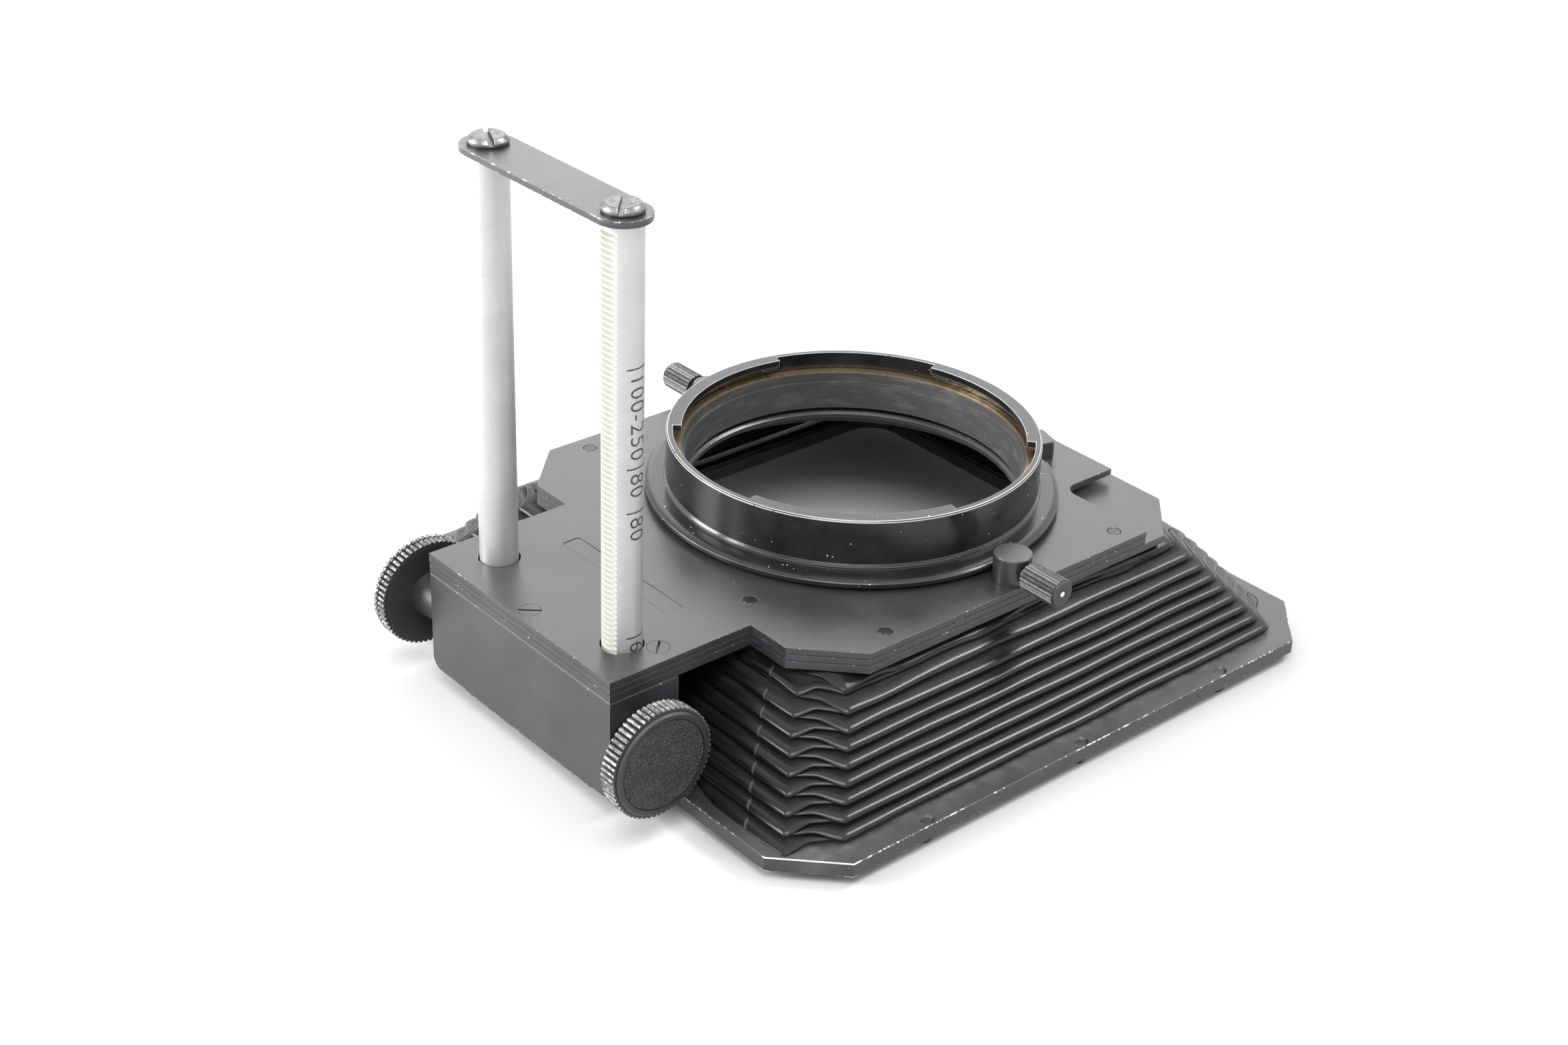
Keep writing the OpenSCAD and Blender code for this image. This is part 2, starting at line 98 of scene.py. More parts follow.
def ease(start, end, value):
    """0 before start, 1 after end, and a smooth rise between them."""
    t = clamp((value - start) / (end - start))
    return t * t * (3 - 2 * t)


# ---- camera, floor and light ----

def set_camera():
    """The main camera: it looks down at the shade from the front right, and is slightly rolled."""
    azimuth, elevation, roll = (math.radians(a) for a in (48.27, 29.22, 2.33))
    back = Vector((math.sin(azimuth) * math.cos(elevation),
                   -math.cos(azimuth) * math.cos(elevation), math.sin(elevation)))
    right = back.cross(Vector((0, 0, -1))).normalized()
    up = back.cross(right)
    turned_right = math.cos(roll) * right + math.sin(roll) * up
    turned_up = math.cos(roll) * up - math.sin(roll) * right
    lens = bpy.data.cameras.new("camera")
    lens.lens = 54.06
    lens.sensor_width = 36
    lens.clip_start = 0.01
    lens.clip_end = 20
    camera = bpy.data.objects.new("camera", lens)
    camera.matrix_world = Matrix.Translation((0.29138, -0.27691, 0.20749)) @ Matrix(
        (turned_right, turned_up, back)).transposed().to_4x4()
    bpy.context.scene.collection.objects.link(camera)
    bpy.context.scene.camera = camera


def set_floor(low):
    """A sheet of white paper under the shade. Round the shade it is painted grey, a painted shade that fades out
    to white farther away, so that it takes soft shadows.
    """
    bm = bmesh.new()
    bmesh.ops.create_grid(bm, x_segments=1, y_segments=1, size=2.5)
    bmesh.ops.translate(bm, verts=bm.verts, vec=(0, 0, low))
    mesh = bpy.data.meshes.new("floor")
    bm.to_mesh(mesh)
    bm.free()
    floor = bpy.data.objects.new("floor", mesh)
    bpy.context.scene.collection.objects.link(floor)
    paper = Finish("paper_with_painted_shade", Roughness=0.8, Specular_IOR_Level=0.2)
    distance = paper.add("VectorMath", "Value", {0: paper.mm}, operation="LENGTH")
    # painted shade: the paper is grey (0.40) within 200 mm of the shade and turns white (0.9) by 700 mm
    white = paper.ramp(distance, 200, 700)
    paper.colour(paper.mix(white, (0.40, 0.40, 0.405), (0.9, 0.9, 0.9)))
    mesh.materials.append(paper.material)


def softbox(name, place, aim, size, power):
    """A square lamp at place, facing the point aim."""
    light = bpy.data.lights.new(name, "AREA")
    light.shape = "SQUARE"
    light.size = size
    light.energy = power
    lamp = bpy.data.objects.new(name, light)
    lamp.location = place
    lamp.rotation_euler = (Vector(aim) - Vector(place)).to_track_quat("-Z", "Y").to_euler()
    bpy.context.scene.collection.objects.link(lamp)


def set_light():
    """A bright white room with four softboxes."""
    world = bpy.data.worlds.new("studio")
    world.use_nodes = True
    sky = world.node_tree.nodes["Background"]
    sky.inputs["Color"].default_value = (1, 1, 1, 1)
    sky.inputs["Strength"].default_value = 1.55
    bpy.context.scene.world = world
    bpy.context.scene.view_settings.view_transform = "Standard"
    softbox("front_top_softbox", (0.40, -0.42, 1.05), (0, 0, 0), 0.6, 10)
    softbox("back_top_softbox", (0.22, 0.75, 0.95), (0, 0, 0), 0.28, 8)
    softbox("back_left_softbox", (-0.95, 0.8, 0.75), (0, 0, 0), 1.0, 4)
    softbox("left_softbox", (-0.75, -0.95, 0.45), (0, 0, 0.02), 0.7, 33)


# ---- finishes ----

class Finish:
    """A material under construction, with short calls that add and join its nodes."""

    def __init__(self, name, **sockets):
        self.material = bpy.data.materials.new(name)
        self.material.use_nodes = True
        self.nodes = self.material.node_tree.nodes
        self.links = self.material.node_tree.links
        self.shader = self.nodes["Principled BSDF"]
        for socket, value in sockets.items():
            self.put(self.shader.inputs[socket.replace("_", " ")], value)
        place = self.nodes.new("ShaderNodeTexCoord").outputs["Object"]
        self.mm = self.add("VectorMath", "Vector", {0: place, "Scale": 1 / MM}, operation="SCALE")

    def put(self, socket, value):
        """Joins a socket to an output, or sets its number or colour."""
        if isinstance(value, bpy.types.NodeSocket):
            self.links.new(value, socket)
        elif isinstance(value, tuple) and len(value) == 3 and socket.type == "RGBA":
            socket.default_value = (*value, 1)
        else:
            socket.default_value = value

    def add(self, kind, output, inputs, **settings):
        node = self.nodes.new("ShaderNode" + kind)
        for key, value in settings.items():
            setattr(node, key, value)
        for key, value in inputs.items():
            self.put(node.inputs[key], value)
        return node.outputs[output]

    def stretched(self, x=1.0, y=1.0, z=1.0):
        """Millimetre coordinates scaled along each axis."""
        return self.add("VectorMath", "Vector", {0: self.mm, 1: (x, y, z)}, operation="MULTIPLY")

    def noise(self, scale, detail=3.0, roughness=0.55, vector=None):
        """Noise with features about 1/scale millimetres wide."""
        return self.add("TexNoise", "Fac", {"Vector": vector or self.mm, "Scale": scale, "Detail": detail,
                                            "Roughness": roughness})

    def cells(self, scale, feature="F1", vector=None):
        return self.add("TexVoronoi", "Distance", {"Vector": vector or self.mm, "Scale": scale}, feature=feature)

    def ramp(self, value, low, high, start=0.0, end=1.0):
        """Maps value from low..high to start..end, and holds it there outside."""
        return self.add("MapRange", "Result", {"Value": value, "From Min": low, "From Max": high,
                                               "To Min": start, "To Max": end})

    def math(self, operation, a, b=0.0):
        return self.add("Math", "Value", {0: a, 1: b}, operation=operation)

    def mix(self, share, a, b):
        """Colour a where share is 0, and b where it is 1."""
        node = self.nodes.new("ShaderNodeMix")
        node.data_type = "RGBA"
        for key, value in (("Factor_Float", share), ("A_Color", a), ("B_Color", b)):
            socket = next(s for s in node.inputs if s.identifier == key)
            self.put(socket, value)
        return next(s for s in node.outputs if s.identifier == "Result_Color")

    def axis(self, name, vector=None):
        return self.add("SeparateXYZ", name, {0: vector or self.mm})

    def attribute(self, name):
        return self.add("Attribute", "Fac", {}, attribute_name=name)

    def bump(self, height, distance, strength=1.0):
        """Joins a height to the shader's normal. Distance is in millimetres."""
        normal = self.add("Bump", "Normal", {"Height": height, "Distance": distance * MM, "Strength": strength})
        self.put(self.shader.inputs["Normal"], normal)

    def colour(self, value):
        self.put(self.shader.inputs["Base Color"], value)

    def roughness(self, value):
        self.put(self.shader.inputs["Roughness"], value)

    def metal(self, value):
        self.put(self.shader.inputs["Metallic"], value)


def enamel(name, foot_dust=False):
    """Satin black stove enamel: faint mottling, rubbed patches and specks of dust.

    With foot_dust, more dust lies along the bellows' foot.
    """
    f = Finish(name, Specular_IOR_Level=0.6)
    patches = f.noise(0.09, 4)
    rubbed = f.ramp(patches, 0.35, 0.7)
    specks = f.math("LESS_THAN", f.cells(0.55), f.ramp(f.noise(0.13, 2), 0.45, 0.7, 0.0, 0.0375))
    grain = f.noise(9.0, 2)
    base = f.mix(rubbed, (0.020, 0.020, 0.022), (0.030, 0.030, 0.033))
    matt = f.math("MULTIPLY", specks, 0.4)
    if foot_dust:
        reach = f.math("MAXIMUM", f.math("ABSOLUTE", f.axis("X")), f.math("ABSOLUTE", f.axis("Y")))
        near = f.math("MULTIPLY", f.ramp(reach, 66.0, 62.0), f.ramp(f.noise(0.35, 4, 0.6), 0.2, 0.75))
        base = f.mix(f.math("MULTIPLY", near, 0.55), base, (0.11, 0.105, 0.09))
        matt = f.math("ADD", matt, f.math("MULTIPLY", near, 0.4))
    f.colour(f.mix(specks, base, (0.42, 0.41, 0.38)))
    f.roughness(f.math("ADD", f.ramp(patches, 0.3, 0.7, 0.17, 0.30), matt))
    f.bump(f.math("ADD", grain, f.math("MULTIPLY", specks, 2.0)), 0.022)
    return f.material


def worn_edge(name, amount, metal=(0.60, 0.60, 0.59), chip=0.9, knocks=()):
    """The narrow rounded edges of a painted part: thin paint, bare in chips and round each knocked point.

    Chips are about 1/chip millimetres wide. A knock is a point and how far its chip reaches.
    """
    f = Finish(name)
    run = f.noise(0.05, 3)
    chips = f.noise(chip, 4, 0.65)
    need = f.ramp(run, 0.32, 0.68, 0.80 - 0.4 * amount, 0.64 - 0.4 * amount)
    for point, reach in knocks:
        gap = f.add("VectorMath", "Value", {0: f.mm, 1: point}, operation="DISTANCE")
        need = f.math("SUBTRACT", need, f.ramp(gap, 0.4 * reach, reach, 0.30, 0.0))
    bare = f.ramp(f.math("SUBTRACT", chips, need), 0.0, 0.04)
    f.colour(f.mix(bare, (0.045, 0.045, 0.047), metal))
    f.metal(f.ramp(bare, 0.0, 1.0, 0.0, 0.5))
    f.roughness(f.ramp(bare, 0.0, 1.0, 0.34, 0.42))
    f.bump(f.math("SUBTRACT", 1.0, bare), 0.02)
    return f.material


def anodised(name):
    """Glossy black anodised aluminium with dust and fine turned lines."""
    f = Finish(name, Specular_IOR_Level=0.45)
    turned = f.noise(14.0, 1, 0.4, f.stretched(0.05, 0.05, 1.0))
    smears = f.noise(0.16, 4)
    specks = f.math("LESS_THAN", f.cells(0.6), f.ramp(f.noise(0.2, 2), 0.40, 0.68, 0.0, 0.12))
    base = f.mix(f.ramp(smears, 0.35, 0.75), (0.006, 0.006, 0.0065), (0.014, 0.014, 0.0145))
    f.colour(f.mix(specks, base, (0.36, 0.35, 0.33)))
    f.roughness(f.math("ADD", f.ramp(smears, 0.3, 0.75, 0.13, 0.28), f.math("MULTIPLY", specks, 0.3)))
    f.bump(f.math("ADD", turned, f.math("MULTIPLY", specks, 2.0)), 0.008)
    return f.material


def knurl_metal(name, centre, crest, worn=1.0):
    """Black anodised knurling: the crests, at a known radius from the knob's axis, are rubbed to bare metal.

    The axis is parallel to X, and centre is its Y and Z.
    """
    f = Finish(name, Specular_IOR_Level=0.6)
    moved = f.add("VectorMath", "Vector", {0: f.mm, 1: (0, -centre[0], -centre[1])}, operation="ADD")
    flat = f.add("VectorMath", "Vector", {0: moved, 1: (0, 1, 1)}, operation="MULTIPLY")
    radius = f.add("VectorMath", "Value", {0: flat}, operation="LENGTH")
    high = f.ramp(radius, crest - 0.22, crest - 0.02)
    chips = f.ramp(f.noise(1.1, 4, 0.7), 0.50, 0.60)
    bare = f.math("MULTIPLY", f.math("MULTIPLY", high, chips), worn)
    rub = f.math("MULTIPLY", f.ramp(radius, crest - 0.5, crest - 0.05), f.ramp(f.noise(0.4, 3), 0.35, 0.65))
    base = f.mix(f.math("MULTIPLY", rub, worn), (0.015, 0.015, 0.016), (0.08, 0.08, 0.077))
    base = f.mix(f.ramp(radius, crest - 1.4, crest - 1.6, 0.0, 0.6), base, (0.012, 0.009, 0.008))
    f.colour(f.mix(bare, base, (0.42, 0.42, 0.41)))
    f.metal(f.math("MULTIPLY", bare, 0.6))
    f.roughness(f.ramp(bare, 0.0, 1.0, 0.42, 0.36))
    f.bump(f.noise(6.0, 3), 0.02)
    return f.material


def matt_black(name):
    """Matt anti-reflection black of the bore, scuffed round its length by lenses going in and out."""
    f = Finish(name, Specular_IOR_Level=0.4)
    scuffs = f.ramp(f.noise(1.0, 5, 0.7, f.stretched(0.12, 0.12, 0.7)), 0.50, 0.75)
    turned = f.noise(7.0, 2, 0.5, f.stretched(0.02, 0.02, 1.0))
    f.colour(f.mix(scuffs, (0.045, 0.045, 0.046), (0.085, 0.084, 0.080)))
    f.roughness(f.ramp(scuffs, 0.0, 1.0, 0.42, 0.6))
    f.bump(turned, 0.015)
    return f.material


def drawn_aluminium(name):
    """Satin drawn rod: fine lengthwise lines, a few dark marks, and a yellowed rack on the right rod."""
    f = Finish(name, Metallic=0.9)
    lines = f.noise(9.0, 2, 0.6, f.stretched(1.0, 1.0, 0.02))
    cloud = f.noise(0.12, 3)
    marks = f.math("LESS_THAN", f.cells(0.21), f.ramp(f.noise(0.07, 2), 0.45, 0.75, 0.0, 0.07))
    base = f.mix(f.ramp(cloud, 0.3, 0.7), (0.43, 0.43, 0.425), (0.48, 0.48, 0.475))
    base = f.mix(f.ramp(f.noise(0.9, 3, 0.6), 0.52, 0.8, 0.0, 0.15), base, (0.36, 0.33, 0.27))
    base = f.mix(marks, base, (0.30, 0.27, 0.23))
    rack = f.math("MULTIPLY", f.ramp(f.axis("Y"), RACK_Y, RACK_Y - 0.15), f.ramp(f.axis("X"), 0.0, 1.0))
    f.colour(f.mix(rack, base, (0.44, 0.43, 0.39)))
    f.metal(f.ramp(rack, 0.0, 1.0, 0.9, 0.45))
    f.roughness(f.ramp(lines, 0.3, 0.7, 0.44, 0.56))
    f.bump(lines, 0.006)
    return f.material


def turned_steel(name, tint=(0.50, 0.50, 0.52)):
    """Machined steel with brushed lines and darker handling marks."""
    f = Finish(name, Metallic=1.0)
    brushed = f.noise(5.0, 3, 0.6, f.stretched(0.25, 2.0, 1.0))
    stain = f.ramp(f.noise(0.8, 4, 0.65), 0.45, 0.72)
    f.colour(f.mix(stain, tint, tuple(c * 0.45 for c in tint)))
    f.roughness(f.ramp(brushed, 0.3, 0.7, 0.28, 0.46))
    f.bump(brushed, 0.01)
    return f.material


def aged_brass(name):
    """Tarnished brass of the pinion and of the spring ring inside the lens ring."""
    f = Finish(name, Metallic=1.0)
    tarnish = f.ramp(f.noise(0.5, 4, 0.6), 0.35, 0.7)
    f.colour(f.mix(tarnish, (0.62, 0.46, 0.26), (0.22, 0.14, 0.07)))
    f.roughness(f.ramp(tarnish, 0.0, 1.0, 0.32, 0.55))
    f.bump(f.noise(6.0, 2), 0.01)
    return f.material


def leatherette(name):
    """Pebbled black leatherette: rounded cells with creases between them."""
    f = Finish(name, Specular_IOR_Level=0.5)
    drift = f.add("TexNoise", "Color", {"Vector": f.mm, "Scale": 0.8})
    wobble = f.add("VectorMath", "Vector", {0: f.mm, 1: drift}, operation="ADD")
    crease = f.cells(1.4, "DISTANCE_TO_EDGE", wobble)
    dome = f.ramp(crease, 0.0, 0.32)
    dust = f.ramp(f.noise(0.3, 4, 0.6), 0.45, 0.75)
    f.colour(f.mix(f.math("MULTIPLY", dust, 0.5), (0.014, 0.014, 0.0145), (0.055, 0.054, 0.051)))
    f.roughness(f.ramp(dome, 0.0, 1.0, 0.72, 0.48))
    f.bump(f.math("ADD", dome, f.math("MULTIPLY", f.noise(7.0, 2), 0.25)), 0.3)
    return f.material


def pale_plastic(name):
    """Yellowed, grimy plastic of the clamp screws' dots and the brake shoe."""
    f = Finish(name)
    grime = f.ramp(f.noise(2.5, 3), 0.4, 0.7)
    f.colour(f.mix(grime, (0.72, 0.66, 0.57), (0.45, 0.38, 0.30)))
    f.roughness(f.ramp(grime, 0.0, 1.0, 0.45, 0.6))
    f.bump(f.noise(9.0, 2), 0.01)
    return f.material


def bellows_cloth(name):
    """Rubberised cloth: glossy rubbed ridges, and dusty matt leaves between them."""
    f = Finish(name)
    leaf = f.attribute("leaf")
    blotch = f.noise(0.25, 4, 0.6)
    fine = f.noise(5.5, 4, 0.7)
    dusty = f.math("MULTIPLY", leaf, f.ramp(blotch, 0.25, 0.7, 0.35, 1.0))
    grains = f.math("MULTIPLY", f.ramp(fine, 0.62, 0.72), f.ramp(f.noise(0.5, 2), 0.4, 0.65, 0.1, 0.8))
    base = f.mix(dusty, (0.005, 0.005, 0.0055), (0.024, 0.0226, 0.019))
    base = f.mix(f.math("MULTIPLY", grains, leaf), base, (0.13, 0.125, 0.11))
    seam = f.math("MULTIPLY", f.attribute("seam"), f.ramp(leaf, 0.0, 0.5, 0.7, 0.0))
    f.colour(f.mix(seam, base, (0.09, 0.09, 0.085)))
    f.roughness(f.ramp(dusty, 0.0, 0.7, 0.27, 0.72))
    f.put(f.shader.inputs["Specular IOR Level"], f.ramp(dusty, 0.0, 0.5, 0.34, 0.08))
    weave = f.noise(3.2, 4, 0.6)
    texture = f.math("ADD", weave, f.math("MULTIPLY", fine, 0.5))
    f.bump(f.math("MULTIPLY", texture, f.ramp(leaf, 0.0, 1.0, 0.15, 1.0)), 0.05)
    return f.material


def scale_ink(name):
    """Black filling of the rod's scale, partly rubbed away."""
    f = Finish(name)
    worn = f.ramp(f.noise(3.0, 3, 0.6), 0.55, 0.75)
    f.colour(f.mix(worn, (0.02, 0.02, 0.022), (0.16, 0.16, 0.16)))
    f.roughness(f.ramp(worn, 0.0, 1.0, 0.5, 0.6))
    return f.material


# ---- finished pieces ----

SHARP = math.radians(30)  # edges sharper than this are rounded
HARD = math.radians(38)  # edges that are still sharper than this afterwards aren't shaded across
slots = {part["node"]: part["material_slot"] for part in frame["record"]["subparts"]}


def finish_object(name, bm, materials):
    """Turns a bmesh in millimetres into an object at the origin, in metres."""
    bmesh.ops.scale(bm, verts=bm.verts, vec=(MM, MM, MM))
    mesh = bpy.data.meshes.new(name)
    bm.to_mesh(mesh)
    bm.free()
    piece = bpy.data.objects.new(name, mesh)
    bpy.context.scene.collection.objects.link(piece)
    for material in materials:
        mesh.materials.append(material)
    return piece


def machined(node, materials, edge, keep=None):
    """A finished copy of a CAD node: its sharp edges are rounded, and the rounding takes the second material.

    edge is the rounding's width. Where keep is given, only the edges that it chooses are rounded.
    """
    bm = bmesh.new()
    bm.from_mesh(nodes[node].data)
    bmesh.ops.scale(bm, verts=bm.verts, vec=(1 / MM, 1 / MM, 1 / MM))
    bmesh.ops.remove_doubles(bm, verts=bm.verts, dist=0.002)
    bmesh.ops.dissolve_degenerate(bm, edges=bm.edges, dist=0.002)
    bmesh.ops.dissolve_limit(bm, angle_limit=math.radians(0.6), verts=bm.verts, edges=bm.edges)
    for face in bm.faces:
        face.material_index = 0
    edges = [e for e in bm.edges
             if e.is_manifold and e.calc_face_angle(0) > SHARP and (keep is None or keep(e))]
    if edges:
        rounded = bmesh.ops.bevel(bm, geom=edges, offset=edge, offset_type="OFFSET", segments=2, profile=0.5,
                                  affect="EDGES", clamp_overlap=False, material=-1)
        for face in rounded["faces"]:
            face.material_index = 1
    for face in bm.faces:
        face.smooth = True
    for e in bm.edges:
        if e.is_manifold and e.calc_face_angle(0) > HARD:
            e.smooth = False
    piece = finish_object(node + "_finished", bm, materials)
    if piece.data.has_custom_normals:
        piece.data.attributes.remove(piece.data.attributes["custom_normal"])
    flat = piece.modifiers.new("flat_faces", "WEIGHTED_NORMAL")
    flat.keep_sharp = True
    flat.weight = 80
    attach(piece, nodes[node]["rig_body"])
    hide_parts(node)
    return piece


def coat(node, material):
    """Gives a CAD node that keeps its shape its finish."""
    mesh = nodes[node].data
    mesh.materials.clear()
    mesh.materials.append(material)


def main_finishes():
    """The finish of each material slot in the record."""
    return {
        "black_enamel": enamel("black_enamel"),
        "black_anodised": anodised("black_anodised"),
        "matt_black": matt_black("matt_black"),
        "rod_aluminium": drawn_aluminium("rod_aluminium"),
        "screw_steel": turned_steel("screw_steel", (0.19, 0.19, 0.2)),
        "inner_steel": turned_steel("inner_steel"),
        "brass": aged_brass("brass"),
        "leatherette": leatherette("leatherette"),
        "pale_plastic": pale_plastic("pale_plastic"),
        "bellows_skin": bellows_cloth("bellows_skin"),
    }


# ---- bellows ----

PLEATS = 9
PLEAT_PITCH = 2.12
SIDE_LAG = 1.0  # how far the Y sides' ridges lie below the X sides'
FIRST_RIDGE = -4.95
NOSE_R = 0.52
LEAF_DEPTH = 3.6
FRAME_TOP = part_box("front_frame")[1].z / MM - PLATE_TOP
HOUSING_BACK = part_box("focus_housing")[1].y / MM
SIDE_STEPS = 44
CORNER_STEPS = 20
CORNER_SHARES = (0.004, 0.008, 0.013, 0.987, 0.992, 0.996)  # extra columns at the ends of a side
PLEAT_POINTS = 16
SEAM_FROM_CORNER = 9.5
NEAR_ROUND = 0.6
FAR_ROUND = 1.8


def envelope(height, inset):
    """Corner points, round the axis from the right end of the -Y side, of the cloth's outline at a height.

    The outline lies an inset inside the one through the ridges' tips. It widens towards the frame, and its
    corners' cuts change with it.
    """
    drop = -4.25 - height
    half = 48.2 + 0.755 * drop - inset
    near = 48.8 + 0.88 * drop - inset
    far = 47.4 + 0.86 * drop - inset
    cut_x = max(0.3, 8.35 - 0.18 * drop - 0.5 * inset)
    cut_y = max(0.3, 5.8 + 0.19 * drop - 0.66 * inset)
    far_cut_x = max(0.3, 8.35 + 0.11 * drop - 0.5 * inset)
    far_cut_y = max(0.3, 5.8 + 0.085 * drop - 0.66 * inset)
    right = [(half - cut_x, -near), (half, cut_y - near), (half, far - far_cut_y), (half - far_cut_x, far)]
    return [Vector(p) for p in right + [(-x, y) for x, y in reversed(right)]]


def rounded_outline(corners, edge, share):
    """The point at a share of the way along an edge of the outline, whose corners are rounded."""
    start, end = corners[edge], corners[(edge + 1) % 8]
    length = (end - start).length
    ends = ((start, end, corners[edge - 1], share), (end, start, corners[(edge + 2) % 8], 1 - share))
    for tip, other, beyond, away in ends:
        widest = NEAR_ROUND if tip.y < 0 else FAR_ROUND
        reach = min(widest, 0.4 * length, 0.4 * (beyond - tip).length)
        if away * length < reach:
            turn = 0.5 + 0.5 * away * length / reach
            here = tip + (other - tip).normalized() * reach
            there = tip + (beyond - tip).normalized() * reach
            return (1 - turn) ** 2 * there + 2 * turn * (1 - turn) * tip + turn ** 2 * here
    return start.lerp(end, share)


def nose(inward, top, radius):
    """Five points down a rounded fold: how far in from the outline, and how far down."""
    points = []
    for k in range(5):
        turn = math.radians(90 - 45 * k)
        reach = radius * (1 - math.cos(turn))
        points.append((inward + reach, top - radius + radius * math.sin(turn)))
    return points


def side_profile():
    """One pleat of a side whose ridge is the first fold: nose, underside, valley and upper leaf."""
    low = -2 * NOSE_R
    underside = [(NOSE_R + 0.08 * k, low - 0.002 * k) for k in range(1, 9)]
    valley = [(LEAF_DEPTH, low - 0.06), (LEAF_DEPTH, low - 0.22)]
    leaf = [((LEAF_DEPTH + NOSE_R) / 2, (low - 0.22 - PLEAT_PITCH) / 2 - 0.1)]
    return nose(0, 0, NOSE_R) + underside + valley + leaf


def corner_profile():
    """One pleat across a corner, which has two small ridges, one running on from each side."""
    recess, gap, small, lift = 0.8, 3.0, 0.27, 0.62
    first = nose(recess, lift, small)
    second = nose(recess, lift - SIDE_LAG, small)
    third = (recess + small, lift - PLEAT_PITCH)

    def dip(a, b):
        """Three points down the hollow between two small ridges."""
        middle = (a[1] + b[1]) / 2
        return [((a[0] + 2 * gap) / 3, a[1]), (gap, middle), ((b[0] + 2 * gap) / 3, b[1])]

    return first + dip(first[-1], second[0]) + second + dip(second[-1], third)


def pleat_columns():
    """One pleat on the X sides, on the Y sides, whose ridges lie lower by the side lag, and across a corner."""
    x_side = side_profile()
    half = PLEAT_POINTS // 2
    low = [(inward, down - SIDE_LAG) for inward, down in x_side]
    y_side = [(inward, down + PLEAT_PITCH) for inward, down in low[half:]] + low[:half]
    return x_side, y_side, corner_profile()


def tapered(start, end, share):
    """0 at a share of 0, 1 at a share of 1, rising smoothly between start and end."""
    first, last = ease(start, end, 0), ease(start, end, 1)
    return (ease(start, end, share) - first) / (last - first)


def corner_shares(k, along):
    """How far point k follows the X side's and the Y side's column, along a corner that ends on the X side.

    Each small ridge runs on from one side's ridge, and tapers away under the other's.
    """
    if k < 5:
        return tapered(0.4, 1.05, along), 1 - tapered(-0.08, 0.3, along)
    if 8 <= k < 13:
        return 1 - tapered(-0.08, 0.3, 1 - along), tapered(0.55, 1.05, 1 - along)
    return ease(0.85, 1.0, along), ease(0.85, 1.0, 1 - along)


def bellows_point(edge, share, level, columns):
    """A point of the cloth and how matt it is. Edges 0, 2, 4 and 6 are the cut corners."""
    pleat, k = divmod(level, PLEAT_POINTS)
    x_side, y_side, across = columns
    is_side = edge % 2
    middle = 0.0
    if is_side:
        inward, down = (x_side if edge in (1, 5) else y_side)[k]
    else:
        to_x, to_y = corner_shares(k, share if edge in (0, 4) else 1 - share)
        middle = 1 - to_x - to_y
        inward, down = (to_x * x_side[k][i] + to_y * y_side[k][i] + middle * across[k][i] for i in (0, 1))
    matt = ease(0.5, 1.5, inward - middle)
    height = FIRST_RIDGE - PLEAT_PITCH * pleat + down
    run = level / PLEAT_POINTS
    inward += 3.0 * math.exp(-1.2 * run)  # the first pleats are drawn in under the plates
    if level < 2:  # and the cloth's edge is turned up against them
        inward += 1.2 * (2 - level)
        height += 0.5 * (2 - level)
    if is_side:  # a side sags and ripples between its corners, most of all near the plates
        loose = ease(0.0, 0.12, share) * ease(0.0, 0.12, 1 - share) * (0.45 + 2.6 * math.exp(-run))
        along = edge * 31.0 + share * 100
        wave = noise.noise(Vector((along / 17, 0.5, run * 1.3)))
        ripple = noise.noise(Vector((along / 6, 2.5, run * 2.1 + 9)))
        height += loose * (0.22 * wave + 0.05 * ripple)
        inward += loose * 0.35 * wave
    spot = rounded_outline(envelope(height, inward), edge, share)
    housing_limit = HOUSING_BACK + 0.5 - 2.6 * ease(28, 42, abs(spot.x))
    spot.y = max(spot.y, housing_limit)
    height = max(height, FRAME_TOP + 0.06)
    return Vector((spot.x, spot.y, height + PLATE_TOP)), matt


def bellows_stations():
    """Where the columns of points stand: the outline's edge, the share along it, and 1 on the seam."""
    stations = []
    for edge in range(8):
        steps = SIDE_STEPS if edge % 2 else CORNER_STEPS
        stations += [(edge, k / steps, 0.0) for k in range(steps)]
        if edge % 2:
            stations += [(edge, share, 0.0) for share in CORNER_SHARES]
    mean_side = 110.4
    seam_at = 1 - SEAM_FROM_CORNER / mean_side
    lap = [(7, seam_at + shift, mark) for shift, mark in ((-0.005, 0), (-0.002, 1), (0.001, 1), (0.004, 0))]
    return sorted(stations + lap)


def bellows_piece(material):
    """The pleated skin: a grid wrapped round the axis, with each point placed on its fold."""
    columns = pleat_columns()
    stations = bellows_stations()
    levels = PLEATS * PLEAT_POINTS - 3
    bm = bmesh.new()
    leaf = bm.verts.layers.float.new("leaf")
    seam = bm.verts.layers.float.new("seam")
    bmesh.ops.create_grid(bm, x_segments=len(stations), y_segments=levels - 1, size=0.5)
    seam_at = next(share for edge, share, mark in stations if mark)
    for vert in bm.verts:
        station = round((vert.co.x + 0.5) * len(stations)) % len(stations)
        level = round((0.5 - vert.co.y) * (levels - 1))
        edge, share, mark = stations[station]
        place, matt = bellows_point(edge, share, level, columns)
        if edge == 7 and share > seam_at:  # the lap's upper layer stands proud of the lower one
            place.y -= 0.14 * (1 - ease(0.97, 1.0, share))
        vert.co = place
        vert[leaf] = matt
        vert[seam] = mark
    bmesh.ops.remove_doubles(bm, verts=bm.verts, dist=0.0005)
    bmesh.ops.recalc_face_normals(bm, faces=bm.faces)
    for face in bm.faces:
        face.smooth = True
    skin = finish_object("bellows_skin", bm, [material])
    wall = skin.modifiers.new("thickness", "SOLIDIFY")
    wall.thickness = 0.3 * MM
    wall.offset = -1
    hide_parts("bellows")
    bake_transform(skin)


# ---- scale on the right rod ----

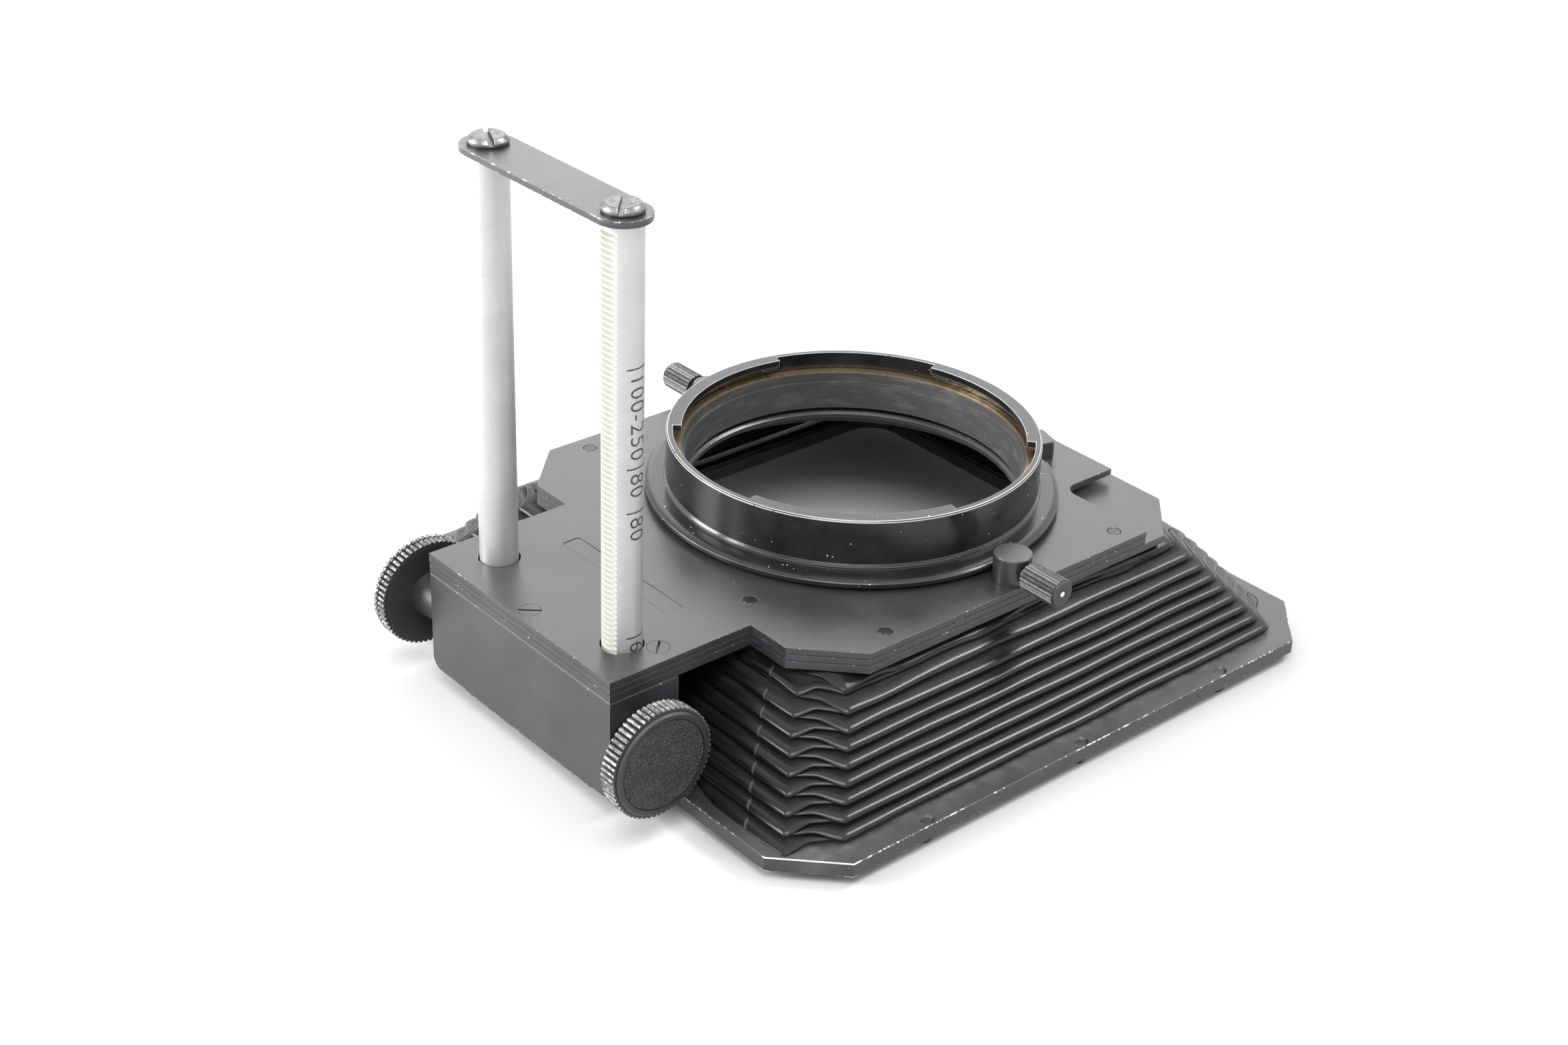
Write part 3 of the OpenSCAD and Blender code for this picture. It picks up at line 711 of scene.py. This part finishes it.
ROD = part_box("rod_right")
ROD_X, ROD_Y = ((ROD[0][i] + ROD[1][i]) / 2 / MM for i in (0, 1))
ROD_R = (ROD[1].x - ROD[0].x) / 2 / MM


def wrapped_on_rod(name, bm, material):
    """Bends a flat mesh round the right rod: its X runs down the rod, and its Y round it."""
    out = ROD_R + 0.012
    for vert in bm.verts:
        turn = math.radians(10) + vert.co.y / ROD_R
        vert.co = (ROD_X + out * math.cos(turn), ROD_Y + out * math.sin(turn), PLATE_TOP - vert.co.x)
    bmesh.ops.recalc_face_normals(bm, faces=bm.faces)
    piece = finish_object(name, bm, [material])
    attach(piece, "front")


def sliced(bm):
    """Cuts a flat mesh along Y every 0.3 mm, so that it can bend."""
    for k in range(-6, 7):
        geometry = bm.verts[:] + bm.edges[:] + bm.faces[:]
        bmesh.ops.bisect_plane(bm, geom=geometry, plane_co=(0, k * 0.3, 0), plane_no=(0, 1, 0))


def scale_number(text, start, material):
    """A number whose characters run down the rod from the height start."""
    curve = bpy.data.curves.new("figure", "FONT")
    curve.body = text
    curve.size = 4.4
    curve.space_character = 1.08
    curve.offset = -0.035
    figure = bpy.data.objects.new("figure", curve)
    bpy.context.scene.collection.objects.link(figure)
    bpy.context.view_layer.update()
    flat = bpy.data.meshes.new_from_object(figure.evaluated_get(bpy.context.evaluated_depsgraph_get()))
    bpy.data.objects.remove(figure)
    bm = bmesh.new()
    bm.from_mesh(flat)
    bpy.data.meshes.remove(flat)
    bmesh.ops.translate(bm, verts=bm.verts, vec=(-start, -1.55, 0))
    sliced(bm)
    wrapped_on_rod("scale_number_" + str(round(start)), bm, material)


def scale_bar(height, material):
    """A thin line about a fifth of the way round the rod."""
    bm = bmesh.new()
    bmesh.ops.create_grid(bm, x_segments=1, y_segments=16, size=0.5)
    bmesh.ops.scale(bm, verts=bm.verts, vec=(0.28, 4.6, 1))
    bmesh.ops.translate(bm, verts=bm.verts, vec=(-height, 0.1, 0))
    wrapped_on_rod("scale_bar_" + str(round(height)), bm, material)


def rod_scale():
    """Four lines on the right rod, each with its number below it."""
    ink = scale_ink("scale_ink")
    for height, text in ((53.3, "100-250"), (35.3, "80"), (27.1, "80"), (2.9, "60")):
        scale_bar(height, ink)
        scale_number(text, height - 0.9, ink)


# ---- assembly ----

set_camera()
set_floor(cad_box[0].z)
set_light()
finishes = main_finishes()


def corner_knocks():
    """Knocked points along the frame's cut corner at the front right, with each one's reach."""
    low, high = (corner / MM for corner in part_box("front_frame"))
    start = Vector((high.x - FRAME_CUT, FRAME_NEAR, high.z))
    end = Vector((high.x, FRAME_NEAR + FRAME_CUT, high.z))
    upper = ((0, 1.1), (0.17, 2.2), (0.33, 2.5), (0.5, 2.5), (0.67, 2.5), (0.83, 2.2), (1, 1.6))
    lower = [((end.x, end.y, low.z), 1.1), ((start.x, start.y, low.z), 1.5)]
    return [(tuple(start.lerp(end, share)), reach) for share, reach in upper] + lower


enamel_edge = worn_edge("enamel_edge", 0.18, chip=1.3)
frame_edge = worn_edge("frame_edge", 0.40, chip=1.4, knocks=corner_knocks())
bridge_edge = worn_edge("bridge_edge", 0.30)
ring_edge = worn_edge("ring_edge", 1.05, (0.34, 0.34, 0.35), 0.5)
steel_edge = worn_edge("steel_edge", 0.2, (0.3, 0.3, 0.31))
frame_enamel = enamel("frame_enamel", foot_dust=True)
stud_metal = turned_steel("stud_metal", (0.10, 0.10, 0.10))


def upper_edges(node):
    """Chooses the edges round the top face of a plate."""
    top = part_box(node)[1].z / MM - 0.01
    return lambda e: all(v.co.z > top for v in e.verts)


def outline_edge(e):
    """Chooses the level edges of the frame's outline, away from its opening and its small holes."""
    x, y, _ = (e.verts[0].co + e.verts[1].co) / 2
    level = abs(e.verts[0].co.z - e.verts[1].co.z) < 0.1
    return level and e.calc_length() > 2.2 and max(abs(x), abs(y)) > 60


for plate in ("cover_plate", "slot_spacer", "base_plate"):
    machined(plate, [finishes["black_enamel"], enamel_edge], 0.1, keep=upper_edges(plate))
machined("front_frame", [frame_enamel, frame_edge], 0.18, keep=outline_edge)
machined("focus_housing", [finishes["black_enamel"], enamel_edge], 0.12)
machined("rod_bridge", [finishes["black_enamel"], bridge_edge], 0.14)
machined("lens_ring", [finishes["black_anodised"], ring_edge], 0.10)
machined("ring_flange", [finishes["black_anodised"], enamel_edge], 0.08)
for side in SIDES:
    for knob, finish, worn in (("focus_knob_", "knurled_", 0.7), ("clamp_screw_", "fluted_", 0.12)):
        low, high = (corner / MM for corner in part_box(knob + side))
        centre = (low + high) / 2
        coat(knob + side, knurl_metal(finish + side, (centre.y, centre.z), (high.y - low.y) / 2, worn))
    machined("clamp_post_" + side, [finishes["black_enamel"], enamel_edge], 0.12)
    machined("ring_hook_" + side, [finishes["black_enamel"], enamel_edge], 0.15)
    machined("bridge_screw_" + side, [finishes["screw_steel"], steel_edge], 0.08)
bellows_piece(finishes["bellows_skin"])
rod_scale()
for name, node in nodes.items():
    if node.hide_render or name.startswith(("focus_knob", "clamp_screw")):
        continue
    if name.startswith("mask_stud"):
        coat(name, stud_metal)
    elif name.startswith("plate_pin"):
        coat(name, finishes["black_anodised"])
    else:
        coat(name, finishes[slots[name]])
